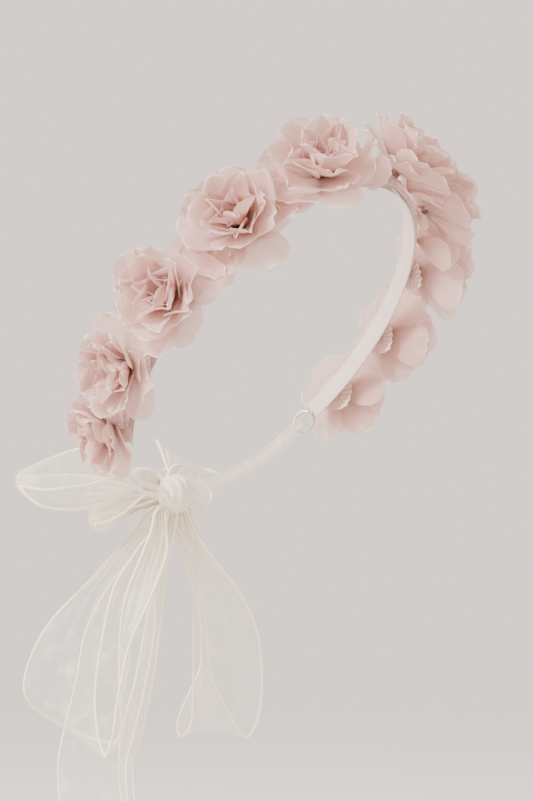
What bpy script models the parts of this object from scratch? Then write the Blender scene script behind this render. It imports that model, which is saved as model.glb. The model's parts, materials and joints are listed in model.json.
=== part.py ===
"""Flower crown: chiffon flowers on a ribbon-wrapped wire, tied at the nape with an organza bow.

World axes: +Z up, -Y the wearer's front, -X the wearer's right. The origin is the centre of the ring that
the head fills. Turns round the ring are degrees from the front, positive towards the wearer's right.
"""
import math

import bpy
import bmesh
from mathutils import Matrix, Vector

# Ring and garland
RING_HALF_WIDTH = 0.085
RING_HALF_LENGTH = 0.105
RING_TILT = 51.0
WIRE_RADIUS = 0.0008
WRAP_HALF_DEPTH = 0.0019
WRAP_HALF_HEIGHT = 0.0027
LINING_WIDTH = 0.010
LINING_THICKNESS = 0.0008
EYELET_RADIUS = 0.006
EYELET_SWEEP = 335.0
EYELET_STEPS = 14
END_COVER = 0.55
END_MARGIN = 0.006
FIT_GAP = 0.0003

# Flowers, listed from the front outwards on each side
FLOWER_RADII = (0.024, 0.0245, 0.025, 0.0225, 0.0205)
FLOWER_GAP = 0.0014
FRONT_GAP = 0.014
FRONT_SHIFT = 0.010
BACKING_RADIUS = 0.010
BACKING_THICKNESS = 0.0012
PETAL_THICKNESS = 0.0010
LAYER_GAP = 0.0009
FLOWER_HEIGHT = 0.030
HEIGHT_FOLLOWS_SPREAD = 0.45
PETAL_RINGS = (0.28, 0.66, 1.0)
SCALLOP_DEPTH = 0.10
OUTER_LOBES = 6
OUTER_RISE = 0.40
MIDDLE_LOBES = 5
MIDDLE_SPREAD = 0.80
MIDDLE_RISE = 0.70
HEART_SPREAD = 0.34
HEART_NECK = 0.30
HEART_START = 0.10
HEART_SPAN = 0.62
HEART_FOLD = 0.12
HEART_FOLDS = 5
SEAT_RIM_SHARE = 0.35
RUFFLED_GAPS = 2
RUFFLE_LENGTH = 0.026
RUFFLE_WIDTH = 0.010
RUFFLE_THICKNESS = 0.0018
TWIST_LENGTH = 0.034
TWIST_TURN = 150.0
TWIST_RADII = (0.0036, 0.0022)
TWIST_LIFT = 0.0042
TWIST_END_SHARE = 0.35

# Bow; its stations and its knot are laid out for a ribbon of LAID_OUT_WIDTH and scale with RIBBON_WIDTH
RIBBON_WIDTH = 0.038
LAID_OUT_WIDTH = 0.038
BOW_SCALE = RIBBON_WIDTH / LAID_OUT_WIDTH
RIBBON_THICKNESS = 0.0010
TIE_WIDTH = 0.0065
TIE_SPACING = 0.0022
TIE_BEND = 0.9
TIE_SETTLE = 12.0
TIE_REACH = 0.35
KNOT_OUTSET = 0.003
KNOT_HALF_SIZE = (0.009 * BOW_SCALE, 0.0070 * BOW_SCALE, 0.0085 * BOW_SCALE)
FAN_ANGLE = 48.0

CURVE_STEPS = 3
RING_STEPS = 42
UP = Vector((0.0, 0.0, 1.0))

# Height of a flower's seat above the ring, and of the petal rims that set the flowers' spacing
SEAT_OUT = WRAP_HALF_DEPTH + FIT_GAP
SEAT_WALK_OUT = SEAT_OUT + BACKING_THICKNESS + SEAT_RIM_SHARE * FLOWER_HEIGHT


def clear_scene():
    for item in list(bpy.data.objects):
        bpy.data.objects.remove(item, do_unlink=True)


def material(name, colour, roughness, metallic=0.0):
    made = bpy.data.materials.new(name)
    made.use_nodes = True
    shader = made.node_tree.nodes["Principled BSDF"]
    shader.inputs["Base Color"].default_value = (*colour, 1.0)
    shader.inputs["Roughness"].default_value = roughness
    shader.inputs["Metallic"].default_value = metallic
    return made


def add_object(name, mesh, slot, parent=None, smooth=True):
    mesh.materials.append(slot)
    if smooth:
        mesh.shade_smooth()
        mesh.set_sharp_from_angle(angle=math.radians(50))
    item = bpy.data.objects.new(name, mesh)
    item.parent = parent
    bpy.context.scene.collection.objects.link(item)
    return item


def add_empty(name, matrix, parent=None):
    item = bpy.data.objects.new(name, None)
    item.parent = parent
    item.matrix_local = matrix
    bpy.context.scene.collection.objects.link(item)
    return item


def mesh_from(name, vertices, faces):
    mesh = bpy.data.meshes.new(name)
    mesh.from_pydata([tuple(v) for v in vertices], [], faces)
    body = bmesh.new()
    body.from_mesh(mesh)
    bmesh.ops.recalc_face_normals(body, faces=body.faces)
    body.to_mesh(mesh)
    body.free()
    return mesh


def sweep(name, sections):
    """Skin a list of equal-length point loops into one closed mesh.

    The quads of the loop's second half start a corner later, so that both faces of a flat section
    split along the same diagonal and a twisted ribbon keeps its thickness.
    """
    count = len(sections[0])
    vertices = [point for section in sections for point in section]
    faces = []
    for row in range(len(sections) - 1):
        for col in range(count):
            nxt = (col + 1) % count
            low, high = row * count, (row + 1) * count
            quad = (low + col, low + nxt, high + nxt, high + col)
            faces.append(quad if col < count / 2 else quad[1:] + quad[:1])
    faces.append(tuple(range(count)))
    faces.append(tuple(range(len(vertices) - count, len(vertices))))
    return mesh_from(name, vertices, faces)


# ---- the ring's own frame: X to the wearer's left, Y to the nape, Z along the ring's axis ----

def ring_outward(turn):
    angle = math.radians(turn)
    across, along = math.sin(angle) / RING_HALF_WIDTH, math.cos(angle) / RING_HALF_LENGTH
    return Vector((-across, -along, 0.0)).normalized()


def ring_point(turn, out=0.0, rise=0.0):
    angle = math.radians(turn)
    base = Vector((-RING_HALF_WIDTH * math.sin(angle), -RING_HALF_LENGTH * math.cos(angle), rise))
    return base + ring_outward(turn) * out


def ring_onward(turn):
    """Unit tangent, towards a greater turn."""
    return ring_outward(turn).cross(UP).normalized()


def turn_at(distance, out):
    """Turn reached after walking a distance from the front along the ring, at a height above it."""
    step = 0.25 if distance >= 0 else -0.25
    turn, walked = 0.0, 0.0
    while walked < abs(distance):
        walked += (ring_point(turn + step, out) - ring_point(turn, out)).length
        turn += step
    return turn


def flower_walks():
    """Distances of the flowers' centres from the front, wearer's right first, then left."""
    walks = []
    for side in (1, -1):
        reach = FRONT_GAP / 2
        for index, radius in enumerate(FLOWER_RADII):
            reach += radius
            walks.append((side, index, FRONT_SHIFT + side * reach))
            reach += radius + FLOWER_GAP
    return walks


def garland_end_turn(side):
    last = [walk for s, index, walk in flower_walks() if s == side][-1]
    return turn_at(last + side * (FLOWER_RADII[-1] * END_COVER + END_MARGIN), SEAT_WALK_OUT)


def garland_turns(start, end):
    return [start + (end - start) * step / RING_STEPS for step in range(RING_STEPS + 1)]


def circle_section(centre, across, along, radius_a, radius_b, sides):
    points = []
    for side in range(sides):
        angle = 2 * math.pi * side / sides
        points.append(centre + across * radius_a * math.cos(angle) + along * radius_b * math.sin(angle))
    return points


def tube(name, path, radius, sides=6):
    """Round tube along a path, its section carried along without twisting."""
    sections = []
    side = None
    for index, point in enumerate(path):
        before = path[max(index - 1, 0)]
        after = path[min(index + 1, len(path) - 1)]
        heading = (after - before).normalized()
        if side is None:
            side = heading.orthogonal().normalized()
        side = (side - heading * side.dot(heading)).normalized()
        sections.append(circle_section(point, side, heading.cross(side), radius, radius, sides))
    return sweep(name, sections)


# ---- garland ----

def eyelet_points(turn, side):
    """Wire bent round an eye that stands in the plane of the band's tangent and the ring's axis."""
    start = ring_point(turn)
    onward = ring_onward(turn) * side
    centre = start + onward * (EYELET_RADIUS + 2 * WIRE_RADIUS)
    points = []
    for step in range(EYELET_STEPS + 1):
        angle = math.radians(180.0 + EYELET_SWEEP * step / EYELET_STEPS)
        points.append(centre + (onward * math.cos(angle) + UP * math.sin(angle)) * EYELET_RADIUS)
    return points


def build_core_wire(slot, ring_frame):
    right, left = garland_end_turn(1), garland_end_turn(-1)
    arc = [ring_point(turn) for turn in garland_turns(left, right)]
    path = list(reversed(eyelet_points(left, -1))) + arc + eyelet_points(right, 1)
    add_object("core_wire", tube("core_wire", path, WIRE_RADIUS), slot, ring_frame)


def build_band_wrap(slot, ring_frame):
    """Ribbon wound round the wire, as a sleeve open at both ends."""
    sides = 8
    turns = garland_turns(garland_end_turn(-1), garland_end_turn(1))
    bore = WIRE_RADIUS + FIT_GAP
    outer, inner = [], []
    for turn in turns:
        centre, out = ring_point(turn), ring_outward(turn)
        outer.append(circle_section(centre, out, UP, WRAP_HALF_DEPTH, WRAP_HALF_HEIGHT, sides))
        inner.append(circle_section(centre, out, UP, bore, bore, sides))
    vertices = [p for section in outer + inner for p in section]
    faces = []
    offset = len(turns) * sides
    for layer in (0, offset):
        for row in range(len(turns) - 1):
            for col in range(sides):
                nxt = (col + 1) % sides
                low, high = layer + row * sides, layer + (row + 1) * sides
                faces.append((low + col, low + nxt, high + nxt, high + col))
    for row in (0, len(turns) - 1):
        for col in range(sides):
            nxt = (col + 1) % sides
            a, b = row * sides, offset + row * sides
            faces.append((a + col, a + nxt, b + nxt, b + col))
    add_object("band_wrap", mesh_from("band_wrap", vertices, faces), slot, ring_frame)


def build_lining(slot, ring_frame):
    """Flat ribbon on the head side of the wrap."""
    out = -(WRAP_HALF_DEPTH + FIT_GAP + LINING_THICKNESS / 2)
    half = LINING_WIDTH / 2
    sections = []
    for turn in garland_turns(garland_end_turn(-1), garland_end_turn(1)):
        sections.append([
            ring_point(turn, out + LINING_THICKNESS / 2, half),
            ring_point(turn, out + LINING_THICKNESS / 2, -half),
            ring_point(turn, out - LINING_THICKNESS / 2, -half),
            ring_point(turn, out - LINING_THICKNESS / 2, half),
        ])
    add_object("lining_ribbon", sweep("lining_ribbon", sections), slot, ring_frame, smooth=False)


# ---- flowers, each built round its own +Z, which points away from the head ----

def disc(name, radius, low, high, sides=12):
    body = bmesh.new()
    bmesh.ops.create_cone(body, cap_ends=True, segments=sides, radius1=radius, radius2=radius,
                          depth=high - low, matrix=Matrix.Translation((0, 0, (low + high) / 2)))
    mesh = bpy.data.meshes.new(name)
    body.to_mesh(mesh)
    body.free()
    return mesh


def petal_layer(name, radius, lobes, base, rim, phase):
    """A cupped dish with a scalloped edge: one gathered layer of petals."""
    per_lobe = 3
    count = lobes * per_lobe
    vertices = []
    for lift in (0.0, PETAL_THICKNESS):
        for share in PETAL_RINGS:
            for step in range(count):
                angle = 2 * math.pi * step / count
                scallop = 1.0 - SCALLOP_DEPTH * share * (1 + math.cos(lobes * angle)) / 2
                reach = radius * share * scallop
                height = base + (rim - base) * (reach / radius) ** 2 + lift
                vertices.append((reach * math.cos(angle + phase), reach * math.sin(angle + phase), height))
    rings = len(PETAL_RINGS)
    faces = []
    for layer in range(2):
        start = layer * rings * count
        faces.append(tuple(range(start, start + count)))
        for ring in range(rings - 1):
            for step in range(count):
                nxt = (step + 1) % count
                low, high = start + ring * count, start + (ring + 1) * count
                faces.append((low + step, low + nxt, high + nxt, high + step))
    under, over = (rings - 1) * count, (2 * rings - 1) * count
    for step in range(count):
        nxt = (step + 1) % count
        faces.append((under + step, under + nxt, over + nxt, over + step))
    return mesh_from(name, vertices, faces)


def flower_heart(name, radius, base, top):
    """Folded bud of the innermost petals."""
    sides, rings = 10, 5
    sections = []
    for ring in range(rings):
        share = ring / (rings - 1)
        swell = math.sin(math.pi * (HEART_START + HEART_SPAN * share)) ** 2
        girth = radius * (HEART_NECK + (1 - HEART_NECK) * swell)
        height = base + (top - base) * share
        section = []
        for spoke in range(sides):
            angle = 2 * math.pi * spoke / sides
            reach = girth * (1.0 + HEART_FOLD * math.cos(HEART_FOLDS * angle))
            section.append(Vector((reach * math.cos(angle), reach * math.sin(angle), height)))
        sections.append(section)
    return sweep(name, sections)


def build_flower(name, seat, radius, phase, slots):
    """Backing, outer petals, middle petals and heart, stacked with a gap between layers."""
    scale = radius / max(FLOWER_RADII)
    height = FLOWER_HEIGHT * (1 - HEIGHT_FOLLOWS_SPREAD * (1 - scale))
    add_object(name + "_backing", disc(name + "_backing", BACKING_RADIUS, 0.0, BACKING_THICKNESS),
               slots["backing"], seat)
    outer_base = BACKING_THICKNESS + FIT_GAP
    middle_base = outer_base + PETAL_THICKNESS + LAYER_GAP
    heart_base = middle_base + PETAL_THICKNESS + 2 * LAYER_GAP
    outer = petal_layer(name, radius, OUTER_LOBES, outer_base, outer_base + OUTER_RISE * height, phase)
    middle = petal_layer(name, radius * MIDDLE_SPREAD, MIDDLE_LOBES, middle_base,
                         middle_base + MIDDLE_RISE * height, phase + 0.5)
    heart = flower_heart(name, radius * HEART_SPREAD, heart_base, height)
    add_object(name + "_outer_petals", outer, slots["petal"], seat)
    add_object(name + "_middle_petals", middle, slots["petal"], seat)
    add_object(name + "_heart", heart, slots["heart"], seat)


def seat_matrix(turn, out):
    """Ring-frame matrix whose +Z points away from the head and +Y along the ring's axis."""
    outward = ring_outward(turn)
    sideways = UP.cross(outward)
    place = Matrix((sideways, UP, outward)).transposed().to_4x4()
    place.translation = ring_point(turn, out)
    return place


def build_flowers(slots, ring_frame):
    for side, index, walk in flower_walks():
        label = "right" if side > 0 else "left"
        name = "flower_%s_%d" % (label, index + 1)
        turn = turn_at(walk, SEAT_WALK_OUT)
        seat = add_empty(name + "_seat", seat_matrix(turn, SEAT_OUT), ring_frame)
        build_flower(name, seat, FLOWER_RADII[index], 0.4 * index + side, slots)


def ruffle(name, length, width, thickness):
    """Leaf-shaped folded strip, lying across the band."""
    sides = 10
    sections = []
    for lift in (0.0, thickness):
        turns = [2 * math.pi * step / sides for step in range(sides)]
        sections.append([Vector((width / 2 * math.cos(a), length / 2 * math.sin(a), lift)) for a in turns])
    return sweep(name, sections)


def build_ruffles(slots, ring_frame):
    """Small folded strips that fill the band between the flowers nearest the front."""
    walks = flower_walks()
    for (side, index, walk), (next_side, next_index, next_walk) in zip(walks, walks[1:]):
        if side != next_side or next_index > RUFFLED_GAPS:
            continue
        share = FLOWER_RADII[index] / (FLOWER_RADII[index] + FLOWER_RADII[next_index])
        turn = turn_at(walk + (next_walk - walk) * share, SEAT_WALK_OUT)
        name = "gap_ruffle_%s_%d" % ("right" if side > 0 else "left", next_index)
        seat = add_empty(name + "_seat", seat_matrix(turn, SEAT_OUT + FIT_GAP), ring_frame)
        mesh = ruffle(name, RUFFLE_LENGTH, RUFFLE_WIDTH, RUFFLE_THICKNESS)
        add_object(name, mesh, slots["petal"], seat, smooth=False)


def build_front_twist(slots, ring_frame):
    """Longer twisted strip between the two front flowers."""
    turn = turn_at(FRONT_SHIFT, SEAT_WALK_OUT)
    place = seat_matrix(turn, SEAT_OUT + FIT_GAP)
    sections = []
    for step in range(9):
        share = step / 8
        twist = math.radians(TWIST_TURN) * share
        girth = TWIST_END_SHARE + (1 - TWIST_END_SHARE) * math.sin(math.pi * share)
        centre = Vector((0.0, (share - 0.5) * TWIST_LENGTH, TWIST_LIFT))
        across = Vector((math.cos(twist), 0.0, math.sin(twist)))
        along = Vector((-math.sin(twist), 0.0, math.cos(twist)))
        wide, thick = (radius * girth for radius in TWIST_RADII)
        sections.append([place @ p for p in circle_section(centre, across, along, wide, thick, 8)])
    add_object("front_twist", sweep("front_twist", sections), slots["petal"], ring_frame)


# ---- bow ----

def knot_centre():
    tilt = math.radians(RING_TILT)
    reach = RING_HALF_LENGTH + KNOT_OUTSET
    return Vector((0.0, reach * math.cos(tilt), -reach * math.sin(tilt)))


def build_knot(slot, pivot):
    body = bmesh.new()
    bmesh.ops.create_uvsphere(body, u_segments=14, v_segments=9, radius=1.0)
    bmesh.ops.scale(body, vec=KNOT_HALF_SIZE, verts=body.verts)
    mesh = bpy.data.meshes.new("bow_knot")
    body.to_mesh(mesh)
    body.free()
    add_object("bow_knot", mesh, slot, pivot)


def build_tie(side, slot, ring_frame):
    """Gathered ribbon that runs from the knot through the eyelet and back."""
    end = garland_end_turn(side)
    eye_walk = EYELET_RADIUS + 2 * WIRE_RADIUS
    speed = (ring_point(end + 1.0) - ring_point(end)).length
    through = end + side * (eye_walk + TIE_REACH * EYELET_RADIUS) / speed
    knot_side = math.asin((KNOT_HALF_SIZE[0] + 2 * FIT_GAP) / RING_HALF_WIDTH)
    last = side * (180.0 - math.degrees(knot_side))
    legs = 14
    out_leg = [(last + (through - last) * s / legs, 1.0) for s in range(legs)]
    half_turn = [math.pi * s / 6 for s in range(7)]
    bend = [(through - side * TIE_BEND * math.sin(a), math.cos(a)) for a in half_turn]
    back_leg = [(turn, -1.0) for turn, out in reversed(out_leg)]
    rows = []
    for turn, out in out_leg + bend + back_leg:
        blend = min(1.0, abs(turn - through) / TIE_SETTLE)
        outset = KNOT_OUTSET * blend * blend
        rows.append(ring_point(turn, out * TIE_SPACING + outset))
    sections = []
    for index, point in enumerate(rows):
        heading = (rows[min(index + 1, len(rows) - 1)] - rows[max(index - 1, 0)]).normalized()
        normal = heading.cross(UP).normalized() * RIBBON_THICKNESS / 2
        half = UP * TIE_WIDTH / 2
        corners = (normal + half, normal - half, -normal - half, -normal + half)
        sections.append([point + corner for corner in corners])
    name = "tie_ribbon_right" if side > 0 else "tie_ribbon_left"
    add_object(name, sweep(name, sections), slot, ring_frame, smooth=False)


def catmull(a, b, c, d, t):
    """Point on the smooth curve from b to c."""
    square, cube = 2 * a - 5 * b + 4 * c - d, 3 * b - a - 3 * c + d
    return 0.5 * (2 * b + (c - a) * t + square * t * t + cube * t ** 3)


def smooth_rows(rows):
    """Smooth curve through rows of (centre, half-width vector)."""
    packed = [[Vector(c), Vector(h)] for c, h in rows]
    first = [2 * packed[0][k] - packed[1][k] for k in range(2)]
    last = [2 * packed[-1][k] - packed[-2][k] for k in range(2)]
    padded = [first] + packed + [last]
    result = []
    for i in range(1, len(padded) - 2):
        for step in range(CURVE_STEPS):
            t = step / CURVE_STEPS
            result.append([catmull(*(padded[i + k][part] for k in (-1, 0, 1, 2)), t) for part in range(2)])
    result.append(packed[-1])
    return result


def ribbon_row(side, spot, width, face, lean):
    """Centre and half-width vector of one station.

    spot is laid-out millimetres from the knot on the wearer's right. The width lies along the bow's
    fan direction, turned by face degrees about the vertical and by lean degrees out of the level.
    """
    angle = math.radians(-FAN_ANGLE - face)
    level = Vector((math.cos(angle), math.sin(angle), 0.0))
    half = (level * math.cos(math.radians(lean)) + UP * math.sin(math.radians(lean))) * width / 2
    centre = Vector(spot) * BOW_SCALE / 1000
    if side < 0:
        centre.x, half.x = -centre.x, -half.x
    return centre, half


def ribbon(name, side, stations, slot, pivot, shift):
    """Solid ribbon through stations given from the knot; the mesh is stored about its pivot."""
    rows = smooth_rows([ribbon_row(side, spot, share * RIBBON_WIDTH, face, lean)
                        for spot, share, face, lean in stations])
    sections = []
    for index, (centre, half) in enumerate(rows):
        heading = rows[min(index + 1, len(rows) - 1)][0] - rows[max(index - 1, 0)][0]
        normal = heading.cross(half).normalized() * RIBBON_THICKNESS / 2
        centre = centre - shift
        sections.append([centre + half + normal, centre - half + normal,
                         centre - half - normal, centre + half - normal])
    add_object(name, sweep(name, sections), slot, pivot, smooth=False)


# Each station: (x, y, z in mm from the knot), share of the ribbon's width, face and lean in degrees
UPPER_LOOP = (
    ((-2, 9.6, 5.2), 0.07, 90, 88), ((-12, 13, 10.5), 0.20, 90, 60), ((-34, 28, 16), 0.85, 90, -32),
    ((-54, 42, 12.5), 0.95, 90, -24), ((-66, 52, 8.5), 0.40, 90, -20), ((-55, 45, 1), 0.90, 90, -26),
    ((-34, 31, 0), 0.75, 90, -32), ((-12, 14, 2.6), 0.10, 90, 25), ((-2, 9.6, 1.9), 0.07, 90, 88),
)
LOWER_LOOP = (
    ((-2, 9.6, -1.5), 0.06, 90, 88), ((-14, 13, -3.4), 0.10, 90, 75), ((-28, 20, -8), 0.42, 90, -20),
    ((-37, 26, -11), 0.50, 90, -18), ((-30, 25, -17), 0.42, 90, -20), ((-14, 15.5, -7.6), 0.10, 90, 75),
    ((-2, 9.6, -4.8), 0.06, 90, 88),
)
HANGING_LOOP = (
    ((-10, 8.5, -10.5), 0.15, 0, 0), ((-14, 12, -20), 0.30, 0, 12), ((-28, 18, -36), 0.66, 0, 30),
    ((-44, 25, -56), 0.92, 0, 26), ((-52, 30, -80), 1.0, 0, 12), ((-56, 32, -104), 1.0, 5, 0),
    ((-54, 27, -122), 1.0, 35, -12), ((-46, 18, -133), 1.0, 68, -8), ((-41, 9, -135), 1.0, 90, 0),
    ((-41, 2, -125), 1.0, 94, 6), ((-41, 0, -104), 1.0, 88, 8), ((-38, -1, -78), 0.92, 78, 8),
    ((-29, -2, -54), 0.70, 55, 10), ((-19, -2, -34), 0.40, 20, 10), ((-12.5, 0.5, -20), 0.22, 8, 6),
    ((-10, 2, -10.5), 0.15, 0, 0),
)
TAIL = (
    ((-3.5, 5, -10.5), 0.12, 8, 0), ((-4.6, 9, -20), 0.20, 8, 4), ((-6.5, 17, -34), 0.42, 8, 8),
    ((-9.5, 25, -52), 0.72, 8, 8), ((-11.8, 31, -77), 1.0, 8, 0), ((-12.3, 38, -106), 1.0, 8, -8),
    ((-12.3, 46, -130), 1.0, 8, -10), ((-12.3, 52, -152), 1.0, 8, 0), ((-12.3, 49, -178), 1.0, 8, 8),
    ((-12.3, 38, -204), 1.0, 8, 6), ((-12.3, 26, -232), 1.0, 8, 0), ((-12.3, 20, -262), 1.0, 8, -6),
    ((-12.3, 22, -292), 1.0, 8, 0),
)
HANG_PIVOT = Vector((0.0, 0.005, -0.009)) * BOW_SCALE


def build_bow(slots, ring_frame):
    centre = knot_centre()
    bow_pivot = add_empty("bow_pivot", Matrix.Translation(centre))
    build_knot(slots["organza"], bow_pivot)
    for side, label in ((1, "right"), (-1, "left")):
        build_tie(side, slots["organza"], ring_frame)
        still = Vector((0.0, 0.0, 0.0))
        ribbon("upper_loop_" + label, side, UPPER_LOOP, slots["organza"], bow_pivot, still)
        ribbon("lower_loop_" + label, side, LOWER_LOOP, slots["organza"], bow_pivot, still)
        for name, stations in (("hanging_loop_", HANGING_LOOP), ("tail_", TAIL)):
            pivot = add_empty(name + label + "_pivot", Matrix.Translation(HANG_PIVOT), bow_pivot)
            ribbon(name + label, side, stations, slots["organza"], pivot, HANG_PIVOT)


def main():
    clear_scene()
    slots = {
        "wire": material("floral_wire", (0.62, 0.58, 0.52), 0.45, 0.8),
        "band": material("pink_ribbon", (0.80, 0.62, 0.58), 0.55),
        "lining": material("pale_lining", (0.88, 0.80, 0.75), 0.60),
        "backing": material("gathered_backing", (0.76, 0.55, 0.51), 0.85),
        "petal": material("blush_chiffon", (0.82, 0.63, 0.59), 0.80),
        "heart": material("deep_chiffon", (0.72, 0.50, 0.47), 0.80),
        "organza": material("ivory_organza", (0.93, 0.89, 0.82), 0.35),
    }
    ring_frame = add_empty("ring_frame", Matrix.Rotation(math.radians(-RING_TILT), 4, "X"))
    build_core_wire(slots["wire"], ring_frame)
    build_band_wrap(slots["band"], ring_frame)
    build_lining(slots["lining"], ring_frame)
    build_flowers(slots, ring_frame)
    build_ruffles(slots, ring_frame)
    build_front_twist(slots, ring_frame)
    build_bow(slots, ring_frame)
    bpy.context.view_layer.update()


main()
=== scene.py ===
import json
import math
import random

import bpy
import numpy as np
from mathutils import Matrix, Vector, noise

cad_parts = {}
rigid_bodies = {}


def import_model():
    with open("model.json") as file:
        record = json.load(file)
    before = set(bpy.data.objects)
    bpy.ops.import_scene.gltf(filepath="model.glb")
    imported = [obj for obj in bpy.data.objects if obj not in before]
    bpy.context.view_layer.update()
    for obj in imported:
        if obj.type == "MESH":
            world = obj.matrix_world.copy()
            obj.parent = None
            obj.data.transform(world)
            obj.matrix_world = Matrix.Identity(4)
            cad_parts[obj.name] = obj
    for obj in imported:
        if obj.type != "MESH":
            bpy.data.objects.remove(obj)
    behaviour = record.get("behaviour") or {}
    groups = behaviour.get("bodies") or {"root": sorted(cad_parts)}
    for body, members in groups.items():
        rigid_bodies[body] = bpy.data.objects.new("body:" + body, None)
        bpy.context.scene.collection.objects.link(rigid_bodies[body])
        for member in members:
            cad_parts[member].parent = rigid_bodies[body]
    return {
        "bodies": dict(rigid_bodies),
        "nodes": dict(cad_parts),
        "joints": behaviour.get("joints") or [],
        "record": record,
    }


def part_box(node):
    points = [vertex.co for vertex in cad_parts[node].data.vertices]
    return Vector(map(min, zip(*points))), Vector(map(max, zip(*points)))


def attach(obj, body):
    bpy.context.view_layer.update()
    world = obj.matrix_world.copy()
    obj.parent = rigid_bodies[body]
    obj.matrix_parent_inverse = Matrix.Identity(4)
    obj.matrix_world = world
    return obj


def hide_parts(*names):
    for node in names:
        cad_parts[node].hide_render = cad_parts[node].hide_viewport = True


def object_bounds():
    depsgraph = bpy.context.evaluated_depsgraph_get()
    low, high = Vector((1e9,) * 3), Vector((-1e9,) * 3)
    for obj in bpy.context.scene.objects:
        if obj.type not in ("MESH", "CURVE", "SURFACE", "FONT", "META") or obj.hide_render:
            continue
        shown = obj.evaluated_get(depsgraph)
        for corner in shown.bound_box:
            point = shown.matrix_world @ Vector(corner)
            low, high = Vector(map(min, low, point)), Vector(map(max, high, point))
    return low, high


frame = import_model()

CAD_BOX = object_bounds()
LEVEL = Vector((0.0, 1.0, 0.0))
UP = Vector((0.0, 0.0, 1.0))

# The ring that the head fills, as in the CAD model
RING_HALF_WIDTH = 0.085
RING_HALF_LENGTH = 0.105
WRAP_HALF_DEPTH = 0.0019
WRAP_HALF_HEIGHT = 0.0027
LINING_WIDTH = 0.010
RIBBON_WIDTH = 0.038
FAN_ANGLE = 48.0
SIDES = ((1, "right"), (-1, "left"))

# Main view: distances in metres, the target measured in the picture plane
VIEW_AZIMUTH = math.radians(-48.0)
VIEW_ELEVATION = math.radians(2.0)
VIEW_DISTANCE = 1.5
VIEW_HEIGHT = 0.4165
VIEW_TARGET_RIGHT = -0.0018
VIEW_TARGET_UP = -0.0325
SENSOR_HEIGHT = 36.0

# Studio lights: name, spot in metres (towards the camera, to its right, up), size, watts, colour
LIGHTS = (
    ("key", (1.0, -1.5, 1.3), 0.7, 125.0, (1.0, 0.965, 0.93)),
    ("fill", (1.3, 1.6, 0.2), 1.8, 9.0, (1.0, 0.97, 0.95)),
    ("rim", (-1.2, -0.8, 1.5), 1.2, 12.0, (1.0, 0.98, 0.96)),
)
BACKDROP_COLOUR = (0.83, 0.72, 0.645, 1.0)
BACKDROP_STRENGTH = 1.80
FLOOR_DROP = 0.02
FLOOR_REACH = 1.6


# ---------------------------------------------------------------- camera, light and stage

def place_camera():
    sin_a, cos_a = math.sin(VIEW_AZIMUTH), math.cos(VIEW_AZIMUTH)
    sin_e, cos_e = math.sin(VIEW_ELEVATION), math.cos(VIEW_ELEVATION)
    towards = Vector((sin_a * cos_e, -cos_a * cos_e, sin_e))
    right = Vector((cos_a, sin_a, 0.0))
    above = towards.cross(right)
    target = right * VIEW_TARGET_RIGHT + above * VIEW_TARGET_UP
    camera_data = bpy.data.cameras.new("camera")
    camera_data.sensor_fit = "VERTICAL"
    camera_data.sensor_height = SENSOR_HEIGHT
    camera_data.lens = SENSOR_HEIGHT * VIEW_DISTANCE / VIEW_HEIGHT
    camera_data.clip_start = 0.05
    camera = bpy.data.objects.new("camera", camera_data)
    camera.matrix_world = Matrix.Translation(target + towards * VIEW_DISTANCE) @ Matrix(
        (right, above, towards)).transposed().to_4x4()
    bpy.context.scene.collection.objects.link(camera)
    bpy.context.scene.camera = camera
    return right, towards


def area_light(name, spot, size, power, colour):
    data = bpy.data.lights.new(name, "AREA")
    data.shape = "DISK"
    data.size = size
    data.energy = power
    data.color = colour
    light = bpy.data.objects.new(name, data)
    light.matrix_world = Matrix.Translation(spot) @ (-spot).to_track_quat("-Z", "Y").to_matrix().to_4x4()
    bpy.context.scene.collection.objects.link(light)


def light_studio(right, towards):
    world = bpy.data.worlds.new("studio")
    world.use_nodes = True
    backdrop = world.node_tree.nodes["Background"]
    backdrop.inputs["Color"].default_value = BACKDROP_COLOUR
    backdrop.inputs["Strength"].default_value = BACKDROP_STRENGTH
    bpy.context.scene.world = world
    for name, (near, sideways, up), size, power, colour in LIGHTS:
        area_light(name, towards * near + right * sideways + UP * up, size, power, colour)


def lay_floor():
    """Pale floor below the tails, fading out before its edge."""
    low = Vector(CAD_BOX[0]).z - FLOOR_DROP
    ring_count, spokes = 6, 64
    vertices = [(0.0, 0.0, low)]
    for ring in range(1, ring_count + 1):
        for spoke in range(spokes):
            angle = 2 * math.pi * spoke / spokes
            radius = FLOOR_REACH * ring / ring_count
            vertices.append((radius * math.cos(angle), radius * math.sin(angle), low))
    faces = [(0, 1 + s, 1 + (s + 1) % spokes) for s in range(spokes)]
    for ring in range(ring_count - 1):
        for s in range(spokes):
            inner, outer = 1 + ring * spokes, 1 + (ring + 1) * spokes
            nxt = (s + 1) % spokes
            faces.append((inner + s, outer + s, outer + nxt, inner + nxt))
    floor = new_object("studio_floor", vertices, faces, floor_material())


# ---------------------------------------------------------------- node helpers

def new_material(name):
    made = bpy.data.materials.new(name)
    made.use_nodes = True
    tree = made.node_tree
    return made, tree, tree.nodes["Principled BSDF"], tree.nodes["Material Output"]


def link(tree, source, target):
    tree.links.new(source, target)


def node(tree, kind, **settings):
    made = tree.nodes.new(kind)
    for name, value in settings.items():
        setattr(made, name, value)
    return made


def math_node(tree, operation, a, b=None, c=None):
    made = node(tree, "ShaderNodeMath", operation=operation)
    for index, value in enumerate((a, b, c)):
        if value is None:
            continue
        if isinstance(value, (int, float)):
            made.inputs[index].default_value = value
        else:
            link(tree, value, made.inputs[index])
    return made.outputs[0]


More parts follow.
